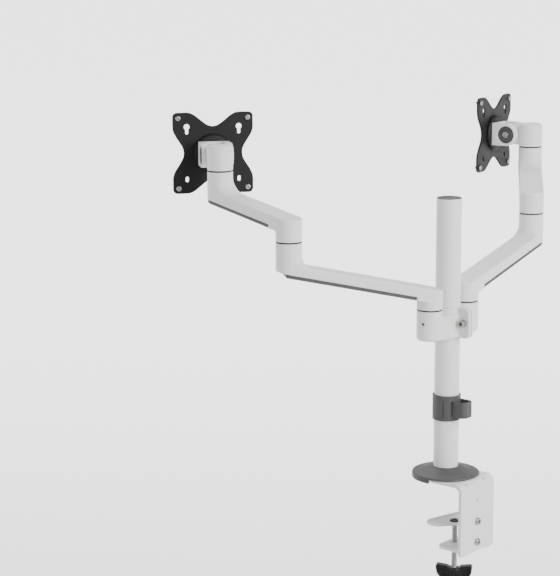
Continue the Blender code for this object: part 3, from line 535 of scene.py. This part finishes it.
def make_handle():
    low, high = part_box("clamp_handle")
    centre = joint_at("spindle_turn")
    place = Matrix.Translation((centre.x, centre.y, high.z)) @ Matrix.Rotation(math.radians(120), 4, "Z")
    deep, rib_count = high.z - low.z, 14
    side = [(6 * MM, -5 * MM), (9.5 * MM, -2.4 * MM), (24 * MM, -0.6 * MM), (26 * MM, -2.4 * MM)]
    side += [(24.6 * MM, -13 * MM), (21 * MM, -18 * MM), (9 * MM, -deep + 2 * MM)]
    wing = polygon(side + [(-u, v) for u, v in side[::-1]])

    def field(x, y, z):
        blade = both(wing(x, z), np.abs(y) - 6.2 * MM, 1.5 * MM)
        pocket = np.maximum(wing(x, z) + 3.2 * MM, np.maximum(4.2 * MM - np.abs(y), 11 * MM - np.abs(x)))
        blade = without(blade, pocket, 0.7 * MM)
        hub = both(disc(x, y, 9.4 * MM), span(z, -deep, -5 * MM), 1.5 * MM)
        ribs = both(disc(x, y, 10.0 * MM), span(z, -deep + 1 * MM, -7 * MM), 1.0 * MM)
        ribs = ribs + 0.7 * MM * np.cos(np.arctan2(y, x) * rib_count)
        body = either(blade, np.minimum(hub, ribs), 1.5 * MM)
        return without(body, np.maximum(disc(x, y, 4.3 * MM), -20 * MM - z), 0.4 * MM)

    reach = 27 * MM
    ends = (-reach, -11 * MM, -deep), (reach, 11 * MM, 1 * MM)
    dress(solid("winged_handle", field, *ends, 0.6 * MM, place), "clamp_handle")


# ---------------------------------------------------------------- post clamp

def make_post_clamp():
    offset = joint_at("left_shoulder").x
    top = joint_at("left_shoulder").z - SEAM
    low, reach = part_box("post_clamp_left_half")[0].z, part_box("post_clamp_left_half")[1].y
    bolt, screw_at = middle_of("post_clamp_back_bolt"), middle_of("left_hub_grub_screw")
    split, face, root, web_top, curve = 0.9 * MM, 5.8 * MM, 23.5 * MM, top - 8.5 * MM, 8.5 * MM
    turned_by = math.radians(105)
    tangent = (offset + HUB * math.cos(turned_by), HUB * math.sin(turned_by))
    side_of_web = [(split, root), (face, root), (10.5 * MM, root - 2 * MM), tangent, (offset, 0)]
    plan = polygon(side_of_web + [(u, -v) for u, v in side_of_web[-2::-1]])
    grub = math.atan2(screw_at.y, screw_at.x - offset)

    def field(x, y, z):
        hub = both(both(disc(x, y, HUB, (offset, 0)), low - z, 5.0 * MM), z - top, CRISP)
        web = both(both(plan(x, y), low - z, 2.0 * MM), z - web_top, 0.9 * MM)
        collar = both(disc(x, y, POST + 4.5 * MM), span(z, low, top), 0.7 * MM)
        ears = both(both(np.abs(y) - reach, span(z, low, top), curve), x - face, 0.9 * MM)
        body = either(np.minimum(web, collar), ears, 0.7 * MM)
        body = both(either(body, hub, 1.2 * MM), split - x, 0.5 * MM)
        body = without(body, disc(x, y, POST + 0.25 * MM), 0.5 * MM)
        for side in (1, -1):
            pocket = np.maximum(disc(y, z, 6.9 * MM, (side * bolt.y, bolt.z)), face + 0.1 * MM - x)
            body = without(body, pocket, 0.6 * MM)
            body = without(body, disc(y, z, 3.4 * MM, (side * bolt.y, bolt.z)), 0.3 * MM)
        u = (x - offset) * math.cos(grub) + y * math.sin(grub)
        v = y * math.cos(grub) - (x - offset) * math.sin(grub)
        return without(body, np.maximum(disc(v, z, 2.6 * MM, (0, screw_at.z)), 8 * MM - u), 0.4 * MM)

    for side, turn in (("left", 0), ("right", 180)):
        place = Matrix.Rotation(math.radians(turn), 4, "Z")
        ends = (0, -reach, low), (offset + HUB, reach, top)
        dress(solid(f"clamp_{side}_casting", field, *ends, 0.8 * MM, place), f"post_clamp_{side}_half")
        spot = place @ Vector((offset, 0, screw_at.z))
        grub_screw(f"{side}_hub_grub_screw", spot, math.degrees(grub) + turn, HUB - 1.0 * MM)
    for name, turn in (("back", 0), ("front", 180)):
        place = Matrix.Rotation(math.radians(turn), 4, "Z")
        place = place @ Matrix.Translation((face + 0.2 * MM, bolt.y, bolt.z)) @ ALONG_X
        screw = socket_screw(f"clamp_bolt_{name}", 3 * MM, 5.4 * MM, 6.0 * MM, 11 * MM, 2.7 * MM, place,
                             knurl=0.12 * MM)
        dress(screw, f"post_clamp_{name}_bolt")


def grub_screw(node, centre, azimuth, reach):
    place = Matrix.Translation(centre) @ Matrix.Rotation(math.radians(azimuth), 4, "Z") @ ALONG_X
    place = place @ Matrix.Translation((0, 0, reach - 2.6 * MM))
    dress(socket_screw(node + "_end", 2.1 * MM, 2.3 * MM, 2.6 * MM, 6 * MM, 1.25 * MM, place), node)


# ---------------------------------------------------------------- arms

LINKS = {
    "lower_link": {"top": 30.6 * MM, "slope": 0.206, "fillet": 12 * MM, "cover_end": 6.5 * MM},
    "upper_link": {"top": 33.6 * MM, "slope": 0.148, "fillet": 17 * MM, "cover_end": 14 * MM},
}
DEPTH = 19.2 * MM               # height of a link's bar, cover and all
COVER, COVER_START = 4.8 * MM, 22 * MM
LONG_EDGE, END_EDGE = 2.8 * MM, 1.6 * MM
ELBOW_GRUB_TURN, ELBOW_GRUB_DROP = -35, 16 * MM


def make_link(side, kind, start, end, grub):
    spec = LINKS[kind]
    run = (end - start).to_2d()
    reach, rise = run.length, end.z - start.z
    slope, fillet, top = spec["slope"], spec["fillet"], spec["top"]
    low, lean = top - DEPTH, math.hypot(1, slope)
    place = frame_at(start, run)
    turn, screw_height = math.radians(ELBOW_GRUB_TURN), rise - ELBOW_GRUB_DROP

    def field(x, y, z):
        over, under = (z - top - slope * x) / lean, (low + slope * x - z) / lean
        plan = bar(x, y, reach, HUB)
        neck = disc(x, y, HUB, (reach, 0))
        edge = LONG_EDGE + (END_EDGE - LONG_EDGE) * np.clip(-x / HUB, 0, 1)
        arm = both(np.maximum(either(over, neck, fillet), z - rise + SEAM), plan, edge)
        arm = both(arm, under, 0.8 * MM)
        column = both(neck, np.maximum(z - rise + SEAM, under), CRISP)
        foot = both(disc(x, y, HUB), np.maximum(SEAM - z, -under - 6 * MM), CRISP)
        body = np.minimum(np.minimum(arm, column), foot)
        rebate = np.maximum(COVER_START - x, -under - COVER - 0.3 * MM)
        body = without(body, rebate, 0.5 * MM)
        channel = np.maximum(np.maximum(np.abs(y) - 10 * MM, -under - COVER - 6 * MM),
                             np.maximum(COVER_START + 6 * MM - x, x - reach - 12 * MM))
        body = without(body, channel, 0.5 * MM)
        if kind == "lower_link":    # the cables leave past the end of the cover
            start_of_exit = reach + spec["cover_end"] + 1.0 * MM
            exit_hole = np.maximum(span(x, start_of_exit, start_of_exit + 7 * MM), 8 * MM - np.abs(y))
            body = without(body, np.maximum(exit_hole, -under - 2.8 * MM), 0.5 * MM)
        if grub:
            u = (x - reach) * math.cos(turn) + y * math.sin(turn)
            v = y * math.cos(turn) - (x - reach) * math.sin(turn)
            body = without(body, np.maximum(disc(v, z, 2.6 * MM, (0, screw_height)), 8 * MM - u), 0.4 * MM)
        return body

    name = f"{side}_{kind}"
    ends = (-HUB, -HUB, SEAM), (reach + HUB, HUB, rise - SEAM)
    dress(solid(f"{name}_casting", field, *ends, 1.1 * MM, place), name)

    def cover(x, y, z):
        level = span((z - low - slope * x) / lean, 0, COVER)
        body = both(both(bar(x, y, reach, HUB - 0.6 * MM), level, 1.0 * MM),
                    span(x, COVER_START + 0.3 * MM, reach + spec["cover_end"]), 0.8 * MM)
        groove = np.abs(np.abs(y) - 12 * MM) - 0.35 * MM
        return without(body, np.maximum(groove, (z - low - slope * x) - 0.5 * MM), 0.15 * MM)

    high = (reach + HUB, HUB, low + slope * (reach + HUB) + COVER + MM)
    strip = solid(f"{name}_strip", cover, (COVER_START, -HUB, low), high, 1.0 * MM, place)
    dress(strip, f"{name}_cable_cover")
    if grub:
        spot = place @ Vector((reach, 0, screw_height))
        azimuth = math.degrees(math.atan2(run.y, run.x)) + ELBOW_GRUB_TURN
        grub_screw(f"{side}_elbow_grub_screw", spot, azimuth, HUB + 1.0 * MM)


def make_washer(node, centre):
    """A friction washer: a dark ring, a little smaller than the hubs."""
    lip, half, bore = HUB - 0.5 * MM, 0.75 * MM, 6.4 * MM
    profile = [(bore, half), (lip - 0.2 * MM, half), (lip, half - 0.2 * MM), (lip, -half + 0.2 * MM)]
    profile += [(lip - 0.2 * MM, -half), (bore, -half)]
    dress(turned(node + "_ring", profile, Matrix.Translation(centre)), node)


TONGUE, FORK = 11.7 * MM, 22.4 * MM     # half widths of a head's tongue and of the fork round it


def make_head(side):
    swivel, tilt = joint_at(f"{side}_swivel"), joint_at(f"{side}_tilt")
    forward = (tilt - swivel).to_2d()
    place = frame_at(swivel, forward)
    out, level = forward.length, tilt.z - swivel.z
    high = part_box(f"{side}_swivel_head")[1].z - swivel.z

    def head(x, y, z):
        drum = both(disc(x, y, HUB), z - high, 6.0 * MM)
        drum = both(drum, SEAM - z, CRISP)
        nose = np.hypot(np.maximum(x - out, 0), z - level) - 15 * MM
        nose = np.where(x < out, np.abs(z - level - 0.4 * MM) - 15.4 * MM, nose)
        tongue = both(np.maximum(nose, -x), np.abs(y) - TONGUE, 1.0 * MM)
        return either(drum, tongue, 2.0 * MM)

    reach = out + 16 * MM
    ends = (-HUB, -HUB, SEAM), (reach, HUB, high)
    dress(solid(f"{side}_head_casting", head, *ends, 0.8 * MM, place), f"{side}_swivel_head")

    place = frame_at(tilt, forward)
    front, round_end, recess = 23.7 * MM, 17.2 * MM, 13.5 * MM

    def fork(x, y, z):
        side_view = np.hypot(np.minimum(x, 0), z) - round_end
        side_view = np.where(x < 0, side_view, np.abs(z) - round_end)
        body = both(np.maximum(side_view, x - front), np.abs(y) - FORK, 1.4 * MM)
        gap = np.maximum(np.abs(y) - TONGUE - 0.3 * MM, x - front + 6 * MM)
        body = without(body, gap, 0.5 * MM)
        cup = np.maximum(disc(x, z, recess), FORK - 3 * MM - y)
        body = without(body, cup, 0.6 * MM)
        return without(body, np.maximum(disc(x, z, 4.3 * MM), -y), 0.3 * MM)

    ends = (-round_end, -FORK, -round_end), (front, FORK, round_end)
    dress(solid(f"{side}_fork_casting", fork, *ends, 0.7 * MM, place), f"{side}_tilt_fork")
    make_tilt_bolt(side, place, recess)
    make_disc_and_plate(side, place, front)


def make_tilt_bolt(side, place, recess):
    seat = FORK - 2.9 * MM
    outward = place @ ALONG_Y @ Matrix.Translation((0, 0, seat))

    def cap(x, y, z):
        away = np.hypot(x, y)
        body = both(disc(x, y, recess - 0.4 * MM), span(z, 0, 2.0 * MM), 0.5 * MM)
        groove = np.abs(away - 10.6 * MM) - 0.35 * MM
        body = without(body, np.maximum(groove, 1.5 * MM - z), 0.15 * MM)
        return without(body, np.maximum(disc(x, y, 5.6 * MM), 0.8 * MM - z), 0.3 * MM)

    ends = (-recess, -recess, 0), (recess, recess, 2.1 * MM)
    dress(solid(f"{side}_tilt_cap", cap, *ends, 0.45 * MM, outward, flat=2), f"{side}_tilt_bolt", finish=CAP)
    screw = socket_screw(f"{side}_tilt_screw", 3.5 * MM, 5.0 * MM, 2.0 * MM, 3 * MM, 2.6 * MM,
                         outward @ Matrix.Translation((0, 0, 0.9 * MM)))
    dress(screw, f"{side}_tilt_bolt", finish=ZINC, stands=False)


def make_disc_and_plate(side, place, front):
    back, radius, rim = 29.5 * MM, 27.5 * MM, 2.6 * MM
    profile = [(1 * MM, back - 0.3 * MM), (radius - 0.4 * MM, back - 0.3 * MM), (radius, back - 0.7 * MM)]
    profile += [(radius, back - 2.8 * MM), (radius - 0.5 * MM, back - 3.4 * MM)]
    profile += [(radius - rim, front + 0.5 * MM), (radius - rim - 1 * MM, front + 0.3 * MM)]
    profile += [(1 * MM, front + 0.3 * MM)]
    dress(turned(f"{side}_disc", profile, place @ ALONG_X), f"{side}_rotation_disc")

    half, pitch, small, thick = 58 * MM, 50 * MM, 37.5 * MM, 3.0 * MM
    shape = polygon(plate_outline(half))

    def field(x, y, z):
        body = both(shape(y, z), span(x, back, back + thick), 0.5 * MM)
        for v in (-pitch, pitch):
            body = without(body, disc(np.abs(y), z, 2.4 * MM, (pitch, v)), 0.3 * MM)
        slot = np.hypot(np.abs(y) - small, z + small - np.clip(z + small, -1.6 * MM, 1.6 * MM)) - 2.4 * MM
        keyhole = np.minimum(disc(np.abs(y), z, 4.2 * MM, (small, small)),
                             np.hypot(np.abs(y) - small, z - np.clip(z, small - 8.5 * MM, small)) - 2.3 * MM)
        body = without(body, np.minimum(slot, keyhole), 0.3 * MM)
        swage = np.abs(np.hypot(y, z) - 32 * MM) - 0.6 * MM
        return without(body, np.maximum(swage, x - back - 0.35 * MM), 0.3 * MM)

    ends = (back, -half, -half), (back + thick, half, half)
    dress(solid(f"{side}_screen_plate", field, *ends, 0.75 * MM, place), f"{side}_vesa_plate")
    for row, z in (("top", pitch), ("bottom", -pitch)):
        for column, y in (("left", pitch), ("right", -pitch)):
            spot = place @ Matrix.Translation((back, y, z)) @ Matrix.Rotation(math.pi, 4, "Z") @ ALONG_X
            name = f"{side}_screw_{row}_{column}"
            screw = socket_screw(name, 1.9 * MM, 3.9 * MM, 2.6 * MM, 8 * MM, 2.0 * MM, spot, cross=True)
            dress(screw, f"{side}_screen_screw_{row}_{column}")


def plate_outline(half):
    """A square whose top and bottom dip and whose sides draw in, between four rounded tabs."""
    tab, corner, steps = 21 * MM, 6.5 * MM, 16
    points = []
    for quarter in range(4):
        depth = 20 * MM if quarter % 2 == 0 else 16 * MM
        turn = Matrix.Rotation(math.radians(90 * quarter), 2)
        edge = []
        for i in range(steps + 1):
            across = (half - tab) * (1 - 2 * i / steps)
            edge.append((across, half - depth * (0.5 + 0.5 * math.cos(math.pi * across / (half - tab)))))
        edge += arc((-half + corner, half - corner), corner, 90, 180, 6)
        points += [tuple(turn @ Vector(p)) for p in edge]
    return points


# ---------------------------------------------------------------- the whole

make_post()
make_flange()
make_clip()
make_bracket()
make_jaw()
make_jaw_screws()
make_press()
make_handle()
make_post_clamp()
for side in SIDES:
    shoulder, elbow, swivel = (joint_at(f"{side}_{name}") for name in ("shoulder", "elbow", "swivel"))
    make_link(side, "lower_link", shoulder, elbow, grub=True)
    make_link(side, "upper_link", elbow, swivel, grub=False)
    make_washer(f"{side}_shoulder_washer", shoulder)
    make_washer(f"{side}_elbow_washer", elbow)
    make_washer(f"{side}_swivel_washer", swivel)
    make_head(side)
for node, obj in frame["nodes"].items():
    for slot in obj.material_slots:
        slot.material = FINISHES[SLOT_OF[node]]


# ---------------------------------------------------------------- floor, light and camera

def make_stage():
    """A pale floor far below the clamp, wide enough to reach the horizon."""
    pale = material("pale_floor", (0.86, 0.86, 0.86), 0.7, grain=4 * MM, relief=0.02, cloud=0.01)
    size, level, squares = 240.0, CAD_BOX[0].z - 0.80, 6
    ticks = [size * (i / squares - 0.5) for i in range(squares + 1)]
    points = [(x, y, level) for y in ticks for x in ticks]
    starts = [j * (squares + 1) + i for j in range(squares) for i in range(squares)]
    faces = [(start, start + 1, start + squares + 2, start + squares + 1) for start in starts]
    mesh = bpy.data.meshes.new("floor")
    mesh.from_pydata(points, [], faces)
    mesh.materials.append(pale)
    floor = bpy.data.objects.new("floor", mesh)
    bpy.context.scene.collection.objects.link(floor)


def area_light(name, size, power, azimuth, elevation, distance):
    """A square softbox that looks at the middle of the object. Azimuth 0 stands on the -Y side."""
    aim = (CAD_BOX[0] + CAD_BOX[1]) / 2
    a, e = math.radians(azimuth), math.radians(elevation)
    away = Vector((math.sin(a) * math.cos(e), -math.cos(a) * math.cos(e), math.sin(e)))
    data = bpy.data.lights.new(name, "AREA")
    data.size, data.energy = size, power
    lamp = bpy.data.objects.new(name, data)
    lamp.location = aim + away * distance
    lamp.rotation_euler = (-away).to_track_quat("-Z", "Y").to_euler()
    bpy.context.scene.collection.objects.link(lamp)
    return lamp


def make_light():
    """A pale room, dimmer overhead, with a key light, two weaker ones, and one over the floor behind."""
    world = bpy.data.worlds.new("studio")
    world.use_nodes = True
    nodes, links = world.node_tree.nodes, world.node_tree.links
    coords, split = nodes.new("ShaderNodeTexCoord"), nodes.new("ShaderNodeSeparateXYZ")
    ramp = nodes.new("ShaderNodeMapRange")
    ramp.inputs["From Min"].default_value, ramp.inputs["From Max"].default_value = 0.0, 0.8
    ramp.inputs["To Min"].default_value, ramp.inputs["To Max"].default_value = 1.25, 0.4
    links.new(coords.outputs["Generated"], split.inputs["Vector"])
    links.new(split.outputs["Z"], ramp.inputs["Value"])
    links.new(ramp.outputs["Result"], nodes["Background"].inputs["Strength"])
    nodes["Background"].inputs["Color"].default_value = (1, 1, 1, 1)
    bpy.context.scene.world = world
    area_light("key", 1.5, 78, 172, 22, 2.3)
    area_light("fill", 1.4, 18, 42, 12, 2.4)
    area_light("rim", 1.6, 18, 330, 48, 2.6)
    sweep = area_light("sweep", 100, 100000, 306, 6, 52)      # looks down on the floor behind the object
    sweep.location.z = 6
    sweep.rotation_euler = (0, 0, math.radians(130))
    sweep.data.spread = math.radians(70)


def make_camera():
    data = bpy.data.cameras.new("camera")
    data.lens, data.sensor_width = 113.38, 36
    data.clip_start, data.clip_end = 0.05, 100
    camera = bpy.data.objects.new("camera", data)
    camera.location = (2.0211, 1.4398, 0.7418)
    camera.rotation_euler = (math.radians(79.224), math.radians(0.218), math.radians(130.812))
    bpy.context.scene.collection.objects.link(camera)
    bpy.context.scene.camera = camera


make_stage()
make_light()
make_camera()
